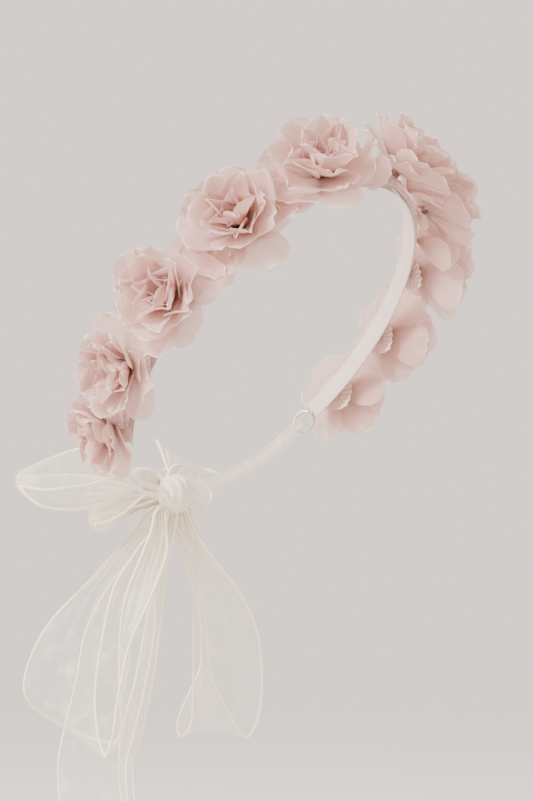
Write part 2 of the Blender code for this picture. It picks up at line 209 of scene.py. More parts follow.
def mix_colour(tree, factor, a, b):
    made = node(tree, "ShaderNodeMix", data_type="RGBA")
    for socket, value in ((made.inputs[0], factor), (made.inputs[6], a), (made.inputs[7], b)):
        if isinstance(value, (int, float)):
            socket.default_value = value
        elif isinstance(value, tuple):
            socket.default_value = (*value, 1.0)
        else:
            link(tree, value, socket)
    return made.outputs[2]


def ramp(tree, value, low, high):
    """Value spread from low..high to 0..1, smoothly."""
    made = node(tree, "ShaderNodeMapRange", interpolation_type="SMOOTHSTEP")
    made.inputs["From Min"].default_value = low
    made.inputs["From Max"].default_value = high
    link(tree, value, made.inputs["Value"])
    return made.outputs[0]


def attribute(tree, name):
    return node(tree, "ShaderNodeAttribute", attribute_name=name).outputs["Fac"]


def noise_tex(tree, vector, scale, detail=3.0, rough=0.55):
    made = node(tree, "ShaderNodeTexNoise")
    made.inputs["Scale"].default_value = scale
    made.inputs["Detail"].default_value = detail
    made.inputs["Roughness"].default_value = rough
    link(tree, vector, made.inputs["Vector"])
    return made.outputs["Fac"]


def threads(tree, vector, per_metre):
    """Warp and weft as two crossed sets of waves, 0 between threads and 1 on them."""
    total = None
    for direction in ("X", "Y"):
        wave = node(tree, "ShaderNodeTexWave", wave_type="BANDS", bands_direction=direction)
        wave.inputs["Scale"].default_value = per_metre * math.pi / 10.0
        wave.inputs["Distortion"].default_value = 0.6
        wave.inputs["Detail"].default_value = 1.0
        link(tree, vector, wave.inputs["Vector"])
        wave_height = wave.outputs["Fac"]
        total = wave_height if total is None else math_node(tree, "MAXIMUM", total, wave_height)
    return total


def stretched(tree, vector, across, along):
    """Cloth coordinates scaled unevenly, so that a texture turns into creases or ribs."""
    made = node(tree, "ShaderNodeVectorMath", operation="MULTIPLY")
    made.inputs[1].default_value = (across, along, 1.0)
    link(tree, vector, made.inputs[0])
    return made.outputs["Vector"]


def bump(tree, height, strength, distance):
    made = node(tree, "ShaderNodeBump")
    made.inputs["Strength"].default_value = strength
    made.inputs["Distance"].default_value = distance
    link(tree, height, made.inputs["Height"])
    return made.outputs["Normal"]


def cloth_uv(tree):
    return node(tree, "ShaderNodeUVMap", uv_map="cloth").outputs["UV"]


def sheer(tree, principled, output, cover, glow, colour):
    """Principled cloth, partly lit through from behind and partly open between its threads."""
    through = node(tree, "ShaderNodeBsdfTranslucent")
    link(tree, colour, through.inputs["Color"])
    lit = node(tree, "ShaderNodeMixShader")
    lit.inputs[0].default_value = glow
    link(tree, principled.outputs[0], lit.inputs[1])
    link(tree, through.outputs[0], lit.inputs[2])
    clear = node(tree, "ShaderNodeBsdfTransparent")
    shown = node(tree, "ShaderNodeMixShader")
    link(tree, cover, shown.inputs[0])
    link(tree, clear.outputs[0], shown.inputs[1])
    link(tree, lit.outputs[0], shown.inputs[2])
    link(tree, shown.outputs[0], output.inputs["Surface"])


# ---------------------------------------------------------------- materials

def floor_material():
    made, tree, shader, output = new_material("studio_floor")
    place = node(tree, "ShaderNodeTexCoord").outputs["Object"]
    length = node(tree, "ShaderNodeVectorMath", operation="LENGTH")
    link(tree, place, length.inputs[0])
    shader.inputs["Base Color"].default_value = (0.80, 0.76, 0.73, 1.0)
    shader.inputs["Roughness"].default_value = 0.9
    clear = node(tree, "ShaderNodeBsdfTransparent")
    mixed = node(tree, "ShaderNodeMixShader")
    link(tree, ramp(tree, length.outputs["Value"], FLOOR_REACH * 0.42, FLOOR_REACH * 0.95), mixed.inputs[0])
    link(tree, shader.outputs[0], mixed.inputs[1])
    link(tree, clear.outputs[0], mixed.inputs[2])
    link(tree, mixed.outputs[0], output.inputs["Surface"])
    return made


def chiffon_material(name, deep, blush, edge, cover, glow):
    """Sheer petal chiffon: deeper towards the root, with a painted paler highlight along the cut rim, and a
    fine weave.
    """
    made, tree, shader, output = new_material(name)
    uv = cloth_uv(tree)
    weave = threads(tree, uv, 1500.0)
    cloud = noise_tex(tree, uv, 90.0)
    slub = noise_tex(tree, uv, 900.0, 2.0, 0.7)
    crease = noise_tex(tree, stretched(tree, uv, 1.0, 0.16), 420.0, 3.0, 0.6)
    along, rim, tone = attribute(tree, "along"), attribute(tree, "rim"), attribute(tree, "tone")
    colour = mix_colour(tree, ramp(tree, along, 0.0, 0.62), deep, blush)
    colour = mix_colour(tree, math_node(tree, "MULTIPLY", cloud, 0.34), colour, edge)
    colour = mix_colour(tree, math_node(tree, "MULTIPLY", tone, 0.30), colour, deep)
    colour = mix_colour(tree, math_node(tree, "MULTIPLY", slub, 0.16), colour, edge)
    # painted highlight: the rim mask lightens the colour towards the pale edge colour
    colour = mix_colour(tree, math_node(tree, "MULTIPLY", rim, 0.72), colour, edge)
    link(tree, colour, shader.inputs["Base Color"])
    shader.inputs["Roughness"].default_value = 0.72
    shader.inputs["Specular IOR Level"].default_value = 0.22
    shader.inputs["Sheen Weight"].default_value = 0.35
    shader.inputs["Sheen Roughness"].default_value = 0.45
    shader.inputs["Sheen Tint"].default_value = (1.0, 0.90, 0.87, 1.0)
    height = math_node(tree, "MULTIPLY_ADD", math_node(tree, "ADD", weave, slub), 0.12, crease)
    link(tree, bump(tree, height, 0.55, 0.0009), shader.inputs["Normal"])
    # painted highlight: crease ridges lighten the lit-through colour towards the pale edge colour
    painted_crease_highlight = math_node(tree, "MULTIPLY", ramp(tree, crease, 0.52, 0.72), 0.25)
    lit_colour = mix_colour(tree, painted_crease_highlight, colour, edge)
    body = math_node(tree, "MULTIPLY_ADD", weave, 0.10, cover)
    body = math_node(tree, "MULTIPLY_ADD", math_node(tree, "SUBTRACT", 1.0, along), 0.20, body)
    # the painted rim highlight is also made more opaque
    body = math_node(tree, "MULTIPLY_ADD", rim, 0.35, body)
    capped = math_node(tree, "MINIMUM", body, 1.0)
    sheer(tree, shader, output, capped, glow, lit_colour)
    return made


def organza_material(name, colour_low, colour_high, cover):
    """Crisp glassy organza with crinkles that catch the light, and painted highlights where the crinkles are
    made more opaque.
    """
    made, tree, shader, output = new_material(name)
    uv = cloth_uv(tree)
    weave = threads(tree, uv, 1400.0)
    crinkle = noise_tex(tree, uv, 75.0, 5.0, 0.62)
    cloud = noise_tex(tree, uv, 28.0, 2.0)
    gather = attribute(tree, "gather")
    colour = mix_colour(tree, cloud, colour_low, colour_high)
    link(tree, colour, shader.inputs["Base Color"])
    shader.inputs["Roughness"].default_value = 0.26
    shader.inputs["Specular IOR Level"].default_value = 0.8
    shader.inputs["Sheen Weight"].default_value = 0.55
    shader.inputs["Sheen Roughness"].default_value = 0.3
    shader.inputs["Sheen Tint"].default_value = (1.0, 0.95, 0.86, 1.0)
    height = math_node(tree, "MULTIPLY_ADD", weave, 0.06, crinkle)
    link(tree, bump(tree, height, 0.8, 0.0016), shader.inputs["Normal"])
    # painted highlight: crinkle ridges are made more opaque, so the pale cloth shows there as bright streaks
    body = math_node(tree, "MULTIPLY_ADD", ramp(tree, crinkle, 0.48, 0.72), 0.42, cover)
    body = math_node(tree, "MULTIPLY_ADD", gather, 0.40, body)
    body = math_node(tree, "MULTIPLY_ADD", weave, 0.05, body)
    sheer(tree, shader, output, math_node(tree, "MINIMUM", body, 1.0), 0.30, colour)
    return made


def satin_material(name, colour_low, colour_high, roughness, per_metre, edge_reach):
    """Woven ribbon: cross ribs, darker along both edges, and clouded colour."""
    made, tree, shader, _ = new_material(name)
    uv = cloth_uv(tree)
    ribs = threads(tree, stretched(tree, uv, 2.6, 1.0), per_metre)
    parts = node(tree, "ShaderNodeSeparateXYZ")
    link(tree, uv, parts.inputs[0])
    sideways = math_node(tree, "ABSOLUTE", parts.outputs["X"])
    # mask along both edges of the ribbon, which are darkened below
    border = ramp(tree, sideways, edge_reach * 0.80, edge_reach * 0.86)
    cloud = noise_tex(tree, uv, 60.0)
    colour = mix_colour(tree, cloud, colour_low, colour_high)
    colour = mix_colour(tree, math_node(tree, "MULTIPLY", ribs, 0.45), colour, colour_high)
    colour = mix_colour(tree, math_node(tree, "MULTIPLY", border, 0.55), colour, colour_low)
    link(tree, colour, shader.inputs["Base Color"])
    link(tree, math_node(tree, "MULTIPLY_ADD", cloud, 0.2, roughness), shader.inputs["Roughness"])
    shader.inputs["Sheen Weight"].default_value = 0.3
    shader.inputs["Specular IOR Level"].default_value = 0.4
    height = math_node(tree, "MULTIPLY_ADD", border, 0.8, ribs)
    link(tree, bump(tree, height, 0.6, 0.0005), shader.inputs["Normal"])
    return made


def cord_material():
    """Cream thread wound over the ribbon's edge wire."""
    made, tree, shader, _ = new_material("wired_edge")
    place = node(tree, "ShaderNodeTexCoord").outputs["Object"]
    grain = noise_tex(tree, place, 900.0, 2.0)
    colour = mix_colour(tree, grain, (0.90, 0.79, 0.54), (1.0, 0.93, 0.74))
    link(tree, colour, shader.inputs["Base Color"])
    shader.inputs["Roughness"].default_value = 0.55
    shader.inputs["Sheen Weight"].default_value = 0.4
    link(tree, bump(tree, grain, 0.5, 0.0002), shader.inputs["Normal"])
    return made


def wire_material():
    made, tree, shader, _ = new_material("floral_wire")
    place = node(tree, "ShaderNodeTexCoord").outputs["Object"]
    grain = noise_tex(tree, place, 1400.0, 2.0)
    link(tree, mix_colour(tree, grain, (0.42, 0.39, 0.35), (0.66, 0.62, 0.56)), shader.inputs["Base Color"])
    shader.inputs["Metallic"].default_value = 0.85
    link(tree, math_node(tree, "MULTIPLY_ADD", grain, 0.25, 0.3), shader.inputs["Roughness"])
    return made


# ---------------------------------------------------------------- mesh helpers

def new_object(name, vertices, faces, material, smooth=True):
    mesh = bpy.data.meshes.new(name)
    mesh.from_pydata([tuple(v) for v in vertices], [], faces)
    mesh.materials.append(material)
    if smooth:
        mesh.shade_smooth()
    item = bpy.data.objects.new(name, mesh)
    bpy.context.scene.collection.objects.link(item)
    return item


class Patchwork:
    """Collects grids of points into one mesh with cloth coordinates and per-point shades."""

    def __init__(self, names):
        self.points, self.faces, self.uvs = [], [], []
        self.shades = {name: [] for name in names}

    def add_grid(self, rows, uvs, shades, closed=False):
        start, width = len(self.points), len(rows[0])
        for row, uv_row in zip(rows, uvs):
            self.points.extend(row)
            self.uvs.extend(uv_row)
        for name, values in shades.items():
            for row in values:
                self.shades[name].extend(row)
        for r in range(len(rows) - 1):
            for c in range(width if closed else width - 1):
                nxt = (c + 1) % width
                low, high = start + r * width, start + (r + 1) * width
                self.faces.append((low + c, low + nxt, high + nxt, high + c))

    def build(self, name, material):
        item = new_object(name, self.points, self.faces, material)
        mesh = item.data
        layer = mesh.uv_layers.new(name="cloth")
        loops = np.empty(len(mesh.loops), dtype=np.int32)
        mesh.loops.foreach_get("vertex_index", loops)
        layer.data.foreach_set("uv", np.array(self.uvs, dtype=np.float32)[loops].ravel())
        for shade, values in self.shades.items():
            mesh.attributes.new(shade, "FLOAT", "POINT").data.foreach_set("value", values)
        return item


# ---------------------------------------------------------------- petals

# Stations across a petal, from edge to edge, and along it, from root to top
PETAL_ACROSS = (-1.0, -0.955, -0.80, -0.55, -0.28, 0.0, 0.28, 0.55, 0.80, 0.955, 1.0)
PETAL_ALONG = (0.0, 0.10, 0.22, 0.35, 0.47, 0.58, 0.68, 0.77, 0.85, 0.915, 0.96, 0.985, 1.0)
# Shares of a petal's length: where it is widest, and where its outline would close
PETAL_SHOULDER = 0.62
PETAL_CLOSING = 1.02
PETAL_ROOT_SHARE = 0.20
# Share of the box round a flat petal that the petal fills
PETAL_FILL = 0.74
# Cross-section: how tightly the middle folds, and where and how fast the edges flip over
FOLD_SHARPNESS = 5.0
FLIP_START = 0.6
FLIP_GAIN = 6.0
PETAL_CREASES_PER_METRE = 130.0
# Where the painted rim highlight lies on a petal: shares of its length and width, and where along it the
# sides start
RIM_ALONG = 0.985
RIM_ACROSS = 0.97
RIM_START = 0.3
SHADES = ("along", "rim", "tone")

# Petals spread past the CAD layers they stand for by this ratio, and their stalks end this far above the seat
FLOWER_SPREAD = 1.34
STALK_GAP = 0.0015
SCRAP_STALK = 0.0005
BACKING_PLEATS = 17
BACKING_RINGS = (0.08, 0.3, 0.55, 0.8, 0.93, 1.0)
BACKING_LIFT = 0.0002
BACKING_PLEAT_DEPTH = 0.0005


def petal_half_width(share, peak):
    """Share of the petal's half width at a share of its length; a low peak points the top."""
    if share < PETAL_SHOULDER:
        widening = math.sin(math.pi / 2 * share / PETAL_SHOULDER) ** 1.15
        return PETAL_ROOT_SHARE + (1 - PETAL_ROOT_SHARE) * widening
    past = (share - PETAL_SHOULDER) / (PETAL_CLOSING - PETAL_SHOULDER)
    return max(0.0, 1.0 - past ** peak) ** (1 / peak)


def across_profile(half, shape):
    """Petal's cross-section as (sideways, lift) at each station, keeping its true width."""
    steps = 24
    table = {0.0: (0.0, 0.0)}
    for sign in (1, -1):
        side, lift = 0.0, 0.0
        for step in range(steps):
            middle = sign * (step + 0.5) / steps
            bend = shape["cup"] * middle * half + shape["skew"] * abs(middle) * half
            bend += shape["fold"] * math.tanh(middle * FOLD_SHARPNESS)
            past = max(0.0, abs(middle) - FLIP_START)
            bend += shape["flip"] * math.copysign(past ** 2 * FLIP_GAIN, middle)
            side += sign * half / steps * math.cos(bend)
            lift += sign * half / steps * math.sin(bend)
            table[sign * (step + 1) / steps] = (side, lift)
    keys = sorted(table)
    result = []
    for u in PETAL_ACROSS:
        place = min(range(len(keys)), key=lambda k: abs(keys[k] - u))
        result.append(table[keys[place]])
    return result


def add_petal(patch, place, shape, tone):
    """One petal that grows along +X of place, with its face turned to +Z."""
    length, half_width = shape["length"], shape["half_width"]
    rows, uvs, along, rim, tones = [], [], [], [], []
    spine, last = Vector((shape["root"], 0.0, 0.0)), 0.0
    stalk = shape["half_width"] * petal_half_width(0.0, shape["peak"])
    columns = len(PETAL_ACROSS)
    rows.append([place @ Vector((shape["root"] * 0.6, u * stalk, -shape["stalk"])) for u in PETAL_ACROSS])
    uvs.append([(u * stalk, -shape["stalk"]) for u in PETAL_ACROSS])
    along.append([0.0] * columns)
    rim.append([0.0] * columns)
    tones.append([tone] * columns)
    for share in PETAL_ALONG:
        step = (share - last) * length
        middle = (share + last) / 2
        angle = shape["rise"] + shape["curl"] * middle + shape["tip"] * middle ** 4
        swing = shape["sway"] * middle
        heading = Vector((
            math.cos(angle) * math.cos(swing),
            math.cos(angle) * math.sin(swing),
            math.sin(angle),
        ))
        spine = spine + heading * step
        last = share
        half = half_width * petal_half_width(share, shape["peak"])
        turn = shape["twist"] * share
        ahead = Vector((math.cos(angle), 0.0, math.sin(angle)))
        lift_way = Vector((-math.sin(angle), 0.0, math.cos(angle)))
        side_way = LEVEL * math.cos(turn) + lift_way * math.sin(turn)
        lift_way = lift_way * math.cos(turn) - LEVEL * math.sin(turn)
        opening = share ** 0.7
        section = {key: shape[key] * opening for key in ("skew", "fold", "flip")}
        section["cup"] = shape["cup"]
        profile = across_profile(half, section)
        row, uv_row = [], []
        for u, (side, lift) in zip(PETAL_ACROSS, profile):
            back = shape["round"] * length * share ** 2 * u * u
            wave = shape["ruffle"] * share ** 2 * math.sin(shape["waves"] * u + shape["phase"])
            wave += shape["notch"] * share ** 6 * math.cos(u * 2.2 * math.pi)
            point = spine + side_way * side + lift_way * (lift + wave) - ahead * back
            crease = noise.noise(point * PETAL_CREASES_PER_METRE + Vector((shape["phase"] * 7.0, 3.0, 1.0)))
            point = point + lift_way * (crease * shape["crumple"] * (0.3 + share))
            row.append(place @ point)
            uv_row.append((u * half + shape["phase"], share * length - back))
        rows.append(row)
        uvs.append(uv_row)
        along.append([share] * columns)
        # mask for the painted rim highlight: the petal's top and, past RIM_START, its sides
        top = 1.0 if share >= RIM_ALONG else 0.0
        rim.append([1.0 if abs(u) > RIM_ACROSS and share > RIM_START else top for u in PETAL_ACROSS])
        tones.append([tone] * columns)
    patch.add_grid(rows, uvs, {"along": along, "rim": rim, "tone": tones})
    return 2 * half_width * length * PETAL_FILL


def petal_shape(rng, radius, length, width, peak, rise, curl, cup, fold, flip, crumple):
    """Shape values of one petal; lengths are shares of the flower's radius and angles are degrees."""
    return {
        "length": radius * length * rng.uniform(0.93, 1.06),
        "half_width": radius * width * rng.uniform(0.90, 1.10),
        "peak": peak,
        "stalk": SCRAP_STALK,
        "root": radius * 0.05,
        "rise": math.radians(rise + rng.uniform(-9, 9)),
        "curl": math.radians(curl + rng.uniform(-8, 8)),
        "tip": math.radians(rng.uniform(-26, 10)),
        "cup": cup * rng.uniform(0.6, 1.35),
        "skew": cup * rng.uniform(-0.5, 0.5),
        "fold": math.radians(fold * rng.uniform(0.5, 1.3)),
        "flip": math.radians(flip * rng.uniform(-1.0, 1.0)),
        "twist": math.radians(rng.uniform(-16, 16)),
        "sway": math.radians(rng.uniform(-9, 9)),
        "round": rng.uniform(0.02, 0.07),
        "ruffle": radius * rng.uniform(0.015, 0.05),
        "waves": rng.uniform(3.0, 5.5),
        "phase": rng.uniform(0, 2 * math.pi),
        "notch": radius * rng.uniform(-0.012, 0.02),
        "crumple": crumple,
    }


# Layers from the outside in: count, length, half width, peak, rise, curl, cup per metre, fold, flip, height
# and crumple; lengths and heights are shares of the flower's radius, crumple is in metres
OUTER_LAYERS = (
    (6, 0.97, 0.385, 2.5, 8, 18, 12, 6, 36, 0.15, 0.0009),
    (6, 0.93, 0.37, 2.4, 24, 24, 20, 12, 44, 0.19, 0.0010),
)
MIDDLE_LAYERS = (
    (6, 0.87, 0.345, 2.1, 38, 18, 26, 30, 54, 0.22, 0.0011),
)
HEART_LAYERS = (
    (5, 0.82, 0.30, 1.45, 48, 10, 16, 66, 46, 0.24, 0.0012),
    (5, 0.65, 0.26, 1.40, 60, 8, 16, 76, 50, 0.26, 0.0012),
    (3, 0.42, 0.20, 1.60, 74, 0, 110, 60, 70, 0.27, 0.0008),
)


def seat_frame(node_name, axis):
    """Frame of a thin CAD node: origin at its middle, +Z away from the head, +Y along the ring's axis."""
    points = np.array([v.co for v in frame["nodes"][node_name].data.vertices])
    centre = points.mean(axis=0)
    outward = Vector(np.linalg.svd(points - centre)[2][2])
    centre = Vector(centre)
    if outward.dot(centre) < 0:
        outward = -outward
    upward = (axis - outward * axis.dot(outward)).normalized()
    place = Matrix((upward.cross(outward), upward, outward)).transposed().to_4x4()
    place.translation = centre
    return place


def build_petals(name, rng, place, radius, layers, material, replaced):
    """Layers of single petals that stand for one CAD layer of a flower."""
    patch = Patchwork(SHADES)
    area = 0.0
    for count, length, width, peak, rise, curl, cup, fold, flip, height, crumple in layers:
        start = rng.uniform(0, 2 * math.pi)
        for index in range(count):
            azimuth = start + 2 * math.pi * (index + rng.uniform(-0.13, 0.13)) / count
            shape = petal_shape(rng, radius, length, width, peak, rise, curl, cup, fold, flip, crumple)
            turned = place @ Matrix.Rotation(azimuth, 4, "Z")
            lift = radius * height * rng.uniform(0.9, 1.1)
            shape["stalk"] = lift - STALK_GAP
            turned = turned @ Matrix.Translation((0.0, 0.0, lift))
            area += add_petal(patch, turned, shape, rng.uniform(0.0, 1.0))
    item = patch.build(name, material)
    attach(item, "garland")
    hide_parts(replaced)
    width = 2 * radius


def build_backing(name, place, radius, material):
    """Gathered disc that the petals are stitched to: radial pleats round a drawn-in middle."""
    patch = Patchwork(SHADES)
    spokes = BACKING_PLEATS * 6
    rows, uvs, along, rim, tone = [], [], [], [], []
    for share in BACKING_RINGS:
        row, uv_row = [], []
        for spoke in range(spokes):
            angle = 2 * math.pi * spoke / spokes
            pleat = math.sin(BACKING_PLEATS * angle + 2.5 * share)
            reach = radius * share * (1.0 + 0.03 * math.sin(5 * angle + radius * 900))
            height = BACKING_LIFT + BACKING_PLEAT_DEPTH * share * pleat - BACKING_LIFT * (share > 0.95)
            row.append(place @ Vector((reach * math.cos(angle), reach * math.sin(angle), height)))
            uv_row.append((angle * radius, share * radius))
        rows.append(row)
        uvs.append(uv_row)
        along.append([share] * spokes)
        # painted rim highlight along the backing's outer edge
        rim.append([1.0 if share > 0.99 else 0.0] * spokes)
        tone.append([0.4] * spokes)
    patch.add_grid(rows, uvs, {"along": along, "rim": rim, "tone": tone}, closed=True)
    item = patch.build(name + "_gathered_backing", material)
    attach(item, "garland")
    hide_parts(name + "_backing")


def build_flowers(axis, materials):
    for side, label in SIDES:
        for index in range(1, 6):
            name = "flower_%s_%d" % (label, index)
            rng = random.Random(100 * index + side)
            place = seat_frame(name + "_backing", axis)
            radius = cad_reach(name + "_outer_petals", place) * FLOWER_SPREAD
            build_backing(name, place, cad_reach(name + "_backing", place), materials["backing"])
            for part, layers in (("outer", OUTER_LAYERS), ("middle", MIDDLE_LAYERS)):
                build_petals(name + "_" + part, rng, place, radius, layers, materials["petal_" + part],
                             name + "_%s_petals" % part)
            build_petals(name + "_folded_heart", rng, place, radius, HEART_LAYERS, materials["petal_heart"],
                         name + "_heart")


def cad_reach(node_name, place):
    """Greatest distance of a CAD node's points from the +Z axis of place."""
    back = place.inverted()
    return max((back @ v.co).xy.length for v in frame["nodes"][node_name].data.vertices)


# Scraps of chiffon round a middle: direction in degrees, length in metres, rise in degrees
GAP_SCRAPS = (
    (90, 0.021, 16), (-90, 0.022, 14), (62, 0.017, 34), (-118, 0.017, 36), (118, 0.016, 30), (-60, 0.018, 26),
)
# Strip twisted between the two front flowers: angles in degrees, lengths in metres
TWIST_ACROSS = (-1.0, -0.93, -0.6, -0.3, 0.0, 0.3, 0.6, 0.93, 1.0)
TWIST_LENGTH = 0.034
TWIST_HALF_WIDTH = 0.0075
TWIST_END_SHARE = 0.45
TWIST_START = -35
TWIST_TURN = 150
TWIST_FOLD = 0.0016
TWIST_CRUMPLE = 0.0009
TWIST_LIFT = 0.0035
TWIST_SCRAPS = ((75, 0.020, 20), (-70, 0.022, 12), (-100, 0.019, 30), (110, 0.018, 34))


def add_scraps(patch, rng, place, scraps):
    """Single folded petals round the middle of place; gives their flat area."""
    area = 0.0
    for azimuth, length, rise in scraps:
        shape = petal_shape(rng, length, 1.0, 0.42, 2.3, rise, 16, 22, 12, 40, 0.0010)
        turned = place @ Matrix.Rotation(math.radians(azimuth), 4, "Z")
        area += add_petal(patch, turned, shape, rng.uniform(0, 1))
    return area


def build_gap_petals(axis, materials):
    """Folded chiffon scraps that fill the band between flowers."""
    for side, label in SIDES:
        for index in (1, 2):
            name = "gap_ruffle_%s_%d" % (label, index)
            rng = random.Random(500 + 10 * index + side)
            patch = Patchwork(SHADES)
            area = add_scraps(patch, rng, seat_frame(name, axis), GAP_SCRAPS)
            item = patch.build(name + "_scraps", materials["petal_outer"])
            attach(item, "garland")
            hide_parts(name)


# ---------------------------------------------------------------- band

# Ribbon wound round the wire, in laps; its cloth coordinates run across the ribbon and round the wire
WRAP_LAPS = 46
WRAP_RIBBON_WIDTH = 0.009
WRAP_GIRTH = 0.016
LINING_STANDOFF = 0.0007
LINING_CROWN = 0.0003
LINING_CLOTH = 0.0004
LINING_CLOTH_LENGTH = 0.45


def ring_frame_matrix(axis):
    """Ring frame in the row frame: X to the wearer's left, Y to the nape, Z along the ring's axis."""
    across = Vector((1.0, 0.0, 0.0))
    return Matrix((across, axis.cross(across), axis)).transposed().to_4x4()


def ring_outward(turn):
    angle = math.radians(turn)
    across, along = math.sin(angle) / RING_HALF_WIDTH, math.cos(angle) / RING_HALF_LENGTH
    return Vector((-across, -along, 0.0)).normalized()


def ring_point(turn, out=0.0, rise=0.0):
    angle = math.radians(turn)
    base = Vector((-RING_HALF_WIDTH * math.sin(angle), -RING_HALF_LENGTH * math.cos(angle), rise))
    return base + ring_outward(turn) * out


def turn_of(point, ring):
    """Turn round the ring of a point given in the row frame."""
    local = ring.inverted() @ point
    return math.degrees(math.atan2(-local.x / RING_HALF_WIDTH, -local.y / RING_HALF_LENGTH))


def band_span(ring):
    turns = [turn_of(v.co, ring) for v in frame["nodes"]["band_wrap"].data.vertices]
    return min(turns), max(turns)


def build_band(ring, materials):
    """Narrow ribbon wound round the wire: each lap stands a little proud of the last."""
    start, end = band_span(ring)
    steps, around = 420, 14
    patch = Patchwork(())
    rows, uvs = [], []
    for step in range(steps + 1):
        share = step / steps
        turn = start + (end - start) * share
        tuck = min(1.0, (0.5 - abs(share - 0.5)) * 120.0)
        row, uv_row = [], []
        for spoke in range(around):
            angle = 2 * math.pi * spoke / around
            lap = (share * WRAP_LAPS + spoke / around) % 1.0
            swell = 0.90 + 0.12 * lap + 0.02 * noise.noise(Vector((share * 90, spoke * 0.8, 2.0)))
            swell *= 0.55 + 0.45 * math.sqrt(max(tuck, 0.0))
            row.append(ring @ ring_point(turn, WRAP_HALF_DEPTH * swell * math.cos(angle),
                                         WRAP_HALF_HEIGHT * swell * math.sin(angle)))
            uv_row.append((lap * WRAP_RIBBON_WIDTH, spoke / around * WRAP_GIRTH))
        rows.append(row)
        uvs.append(uv_row)
    patch.add_grid(rows, uvs, {}, closed=True)
    item = patch.build("wound_band", materials["band"])
    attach(item, "garland")
    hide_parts("band_wrap")


def build_lining(ring, materials):
    """Soft ribbon against the head, its woven edges slightly scalloped."""
    start, end = band_span(ring)
    steps, across = 300, 8
    patch = Patchwork(())
    rows, uvs = [], []
    inner = -(WRAP_HALF_DEPTH + LINING_STANDOFF)
    for step in range(steps + 1):
        share = step / steps
        turn = start + (end - start) * share
        row, uv_row = [], []
        for col in range(across + 1):
            u = 2 * col / across - 1
            edge = 1.0 + 0.02 * math.sin(step * 1.9) * (abs(u) > 0.9)
            ripple = 0.00022 * noise.noise(Vector((share * 40, u * 1.5, 5.0)))
            out = inner + LINING_CROWN * u * u + ripple
            row.append(ring @ ring_point(turn, out, LINING_WIDTH / 2 * u * edge))
            uv_row.append((u * LINING_WIDTH / 2, share * LINING_CLOTH_LENGTH))
        rows.append(row)
        uvs.append(uv_row)
    patch.add_grid(rows, uvs, {})
    item = patch.build("lining_strip", materials["lining"])
    thick = item.modifiers.new("thickness", "SOLIDIFY")
    thick.thickness = LINING_CLOTH
    thick.offset = 0.0
    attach(item, "garland")
    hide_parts("lining_ribbon")


def build_front_twist(axis, materials):
    """Strip of chiffon laid along the band between the two front flowers and twisted once."""
    place = seat_frame("front_twist", axis)
    rng = random.Random(7)
    patch = Patchwork(SHADES)
    stations = 26
    rows, uvs, along, rim, tone = [], [], [], [], []
    for station in range(stations + 1):
        share = station / stations
        twist = math.radians(TWIST_START + TWIST_TURN * share)
        opening = math.sin(math.pi * share) ** 0.6
        spread = TWIST_HALF_WIDTH * (TWIST_END_SHARE + (1 - TWIST_END_SHARE) * opening)
        row, uv_row = [], []
        for u in TWIST_ACROSS:
            fold = TWIST_FOLD * math.sin(u * 5.0 + share * 4.0)
            side, lift = u * spread, fold + TWIST_CRUMPLE * noise.noise(Vector((share * 6, u * 2, 9.0)))
            row.append(place @ Vector((
                (share - 0.5) * TWIST_LENGTH,
                side * math.cos(twist) - lift * math.sin(twist),
                TWIST_LIFT + abs(side * math.sin(twist)) * 0.55 + lift * math.cos(twist),
            )))
            uv_row.append((u * TWIST_HALF_WIDTH, share * TWIST_LENGTH))
        rows.append(row)
        uvs.append(uv_row)
        along.append([0.75] * len(TWIST_ACROSS))
        # painted rim highlight along the strip's edges
        rim.append([1.0 if abs(u) > RIM_ACROSS else 0.0 for u in TWIST_ACROSS])
        tone.append([0.2] * len(TWIST_ACROSS))
    patch.add_grid(rows, uvs, {"along": along, "rim": rim, "tone": tone})
    area = 2 * TWIST_HALF_WIDTH * TWIST_LENGTH + add_scraps(patch, rng, place, TWIST_SCRAPS)
    item = patch.build("front_twisted_strip", materials["petal_middle"])
    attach(item, "garland")
    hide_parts("front_twist")


# ---------------------------------------------------------------- bow

# Stations of each ribbon, as in the CAD model: (x, y, z in mm from the knot on the wearer's right),
# share of the ribbon's width, face and lean in degrees
UPPER_LOOP = (
    ((-2, 9.6, 5.2), 0.07, 90, 88), ((-12, 13, 10.5), 0.20, 90, 60), ((-34, 28, 16), 0.85, 90, -32),
    ((-54, 42, 12.5), 0.95, 90, -24), ((-66, 52, 8.5), 0.40, 90, -20), ((-55, 45, 1), 0.90, 90, -26),
    ((-34, 31, 0), 0.75, 90, -32), ((-12, 14, 2.6), 0.10, 90, 25), ((-2, 9.6, 1.9), 0.07, 90, 88),
)
LOWER_LOOP = (
    ((-2, 9.6, -1.5), 0.06, 90, 88), ((-14, 13, -3.4), 0.10, 90, 75), ((-28, 20, -8), 0.42, 90, -20),
    ((-37, 26, -11), 0.50, 90, -18), ((-30, 25, -17), 0.42, 90, -20), ((-14, 15.5, -7.6), 0.10, 90, 75),
    ((-2, 9.6, -4.8), 0.06, 90, 88),
)
HANGING_LOOP = (
    ((-10, 8.5, -10.5), 0.15, 0, 0), ((-14, 12, -20), 0.30, 0, 12), ((-28, 18, -36), 0.66, 0, 30),
    ((-44, 25, -56), 0.92, 0, 26), ((-52, 30, -80), 1.0, 0, 12), ((-56, 32, -104), 1.0, 5, 0),
    ((-54, 27, -122), 1.0, 35, -12), ((-46, 18, -133), 1.0, 68, -8), ((-41, 9, -135), 1.0, 90, 0),
    ((-41, 2, -125), 1.0, 94, 6), ((-41, 0, -104), 1.0, 88, 8), ((-38, -1, -78), 0.92, 78, 8),
    ((-29, -2, -54), 0.70, 55, 10), ((-19, -2, -34), 0.40, 20, 10), ((-12.5, 0.5, -20), 0.22, 8, 6),
    ((-10, 2, -10.5), 0.15, 0, 0),
)
